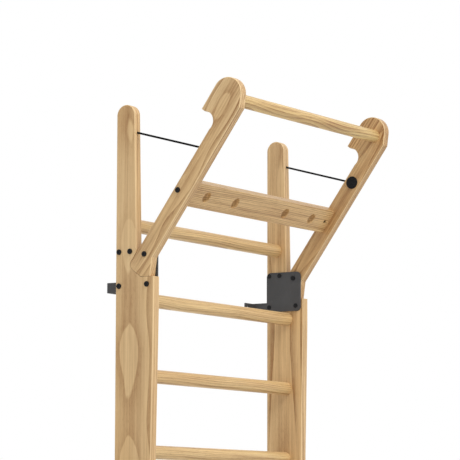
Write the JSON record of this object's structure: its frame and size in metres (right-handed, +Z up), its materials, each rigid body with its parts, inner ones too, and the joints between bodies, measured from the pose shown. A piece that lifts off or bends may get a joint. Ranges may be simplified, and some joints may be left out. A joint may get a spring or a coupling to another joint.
{
  "type": "wall bars with folding pull-up frame",
  "caption": "Wooden wall-mounted exercise ladder with round rungs and a hooked pull-up frame that folds forward on steel hinge plates and is held by stay cords.",
  "frame": {"origin": "middle of the four wall screw holes, on the wall plane", "axes": "+X along the rungs to the right as seen from the room, +Y into the wall, +Z up"},
  "size_m": [0.709, 0.3987, 2.1291],
  "materials": {
    "ash_plank": "oiled ash, satin, eased edges",
    "ash_round": "oiled ash turned round, satin",
    "black_steel": "dark grey powder coat, fine texture",
    "black_bolt": "black oxide, satin",
    "bronze": "sintered bronze, matt",
    "nylon": "natural nylon",
    "black_cord": "braided black cord",
    "crimp_metal": "crimped ferrule",
    "black_plastic": "moulded, matt"
  },
  "bodies": {
    "ladder": {"left_stile": "ash_plank", "right_stile": "ash_plank", "rung_01": "ash_round", "rung_02": "ash_round", "rung_03": "ash_round", "rung_04": "ash_round", "rung_05": "ash_round", "rung_06": "ash_round", "rung_07": "ash_round", "rung_08": "ash_round", "rung_09": "ash_round", "rung_10": "ash_round", "left_hinge_plate": "black_steel", "right_hinge_plate": "black_steel", "left_plate_bolts": "black_bolt", "right_plate_bolts": "black_bolt", "left_plate_nuts": "black_bolt", "right_plate_nuts": "black_bolt", "left_pivot_bolt": "black_bolt", "right_pivot_bolt": "black_bolt", "left_pivot_nut": "black_bolt", "right_pivot_nut": "black_bolt", "left_stay_cord": "black_cord", "right_stay_cord": "black_cord", "upright_cord_stops": "crimp_metal", "left_lower_bracket": "black_steel", "right_lower_bracket": "black_steel", "left_lower_bolts": "black_bolt", "right_lower_bolts": "black_bolt", "left_lower_nuts": "black_bolt", "right_lower_nuts": "black_bolt"},
    "folding_frame": {"left_arm": "ash_plank", "right_arm": "ash_plank", "pull_up_bar": "ash_round", "bar_lock_screws": "black_bolt", "cross_rail": "ash_plank", "rail_bolts": "black_bolt", "rail_barrel_nuts": "black_bolt", "rail_dowels": "ash_round", "left_pivot_bush": "bronze", "right_pivot_bush": "bronze", "left_pivot_washer": "nylon", "right_pivot_washer": "nylon", "arm_cord_stops": "crimp_metal", "left_cord_cap": "black_plastic", "right_cord_cap": "black_plastic"}
  },
  "joints": [
    {"name": "frame_fold", "type": "hinge", "parent": "ladder", "child": "folding_frame", "pos_m": [0, -0.1275, 0.76445], "axis": [-1, 0, 0], "range_deg": [0, 36.5], "deforming": ["left_stay_cord", "right_stay_cord"]}
  ]
}
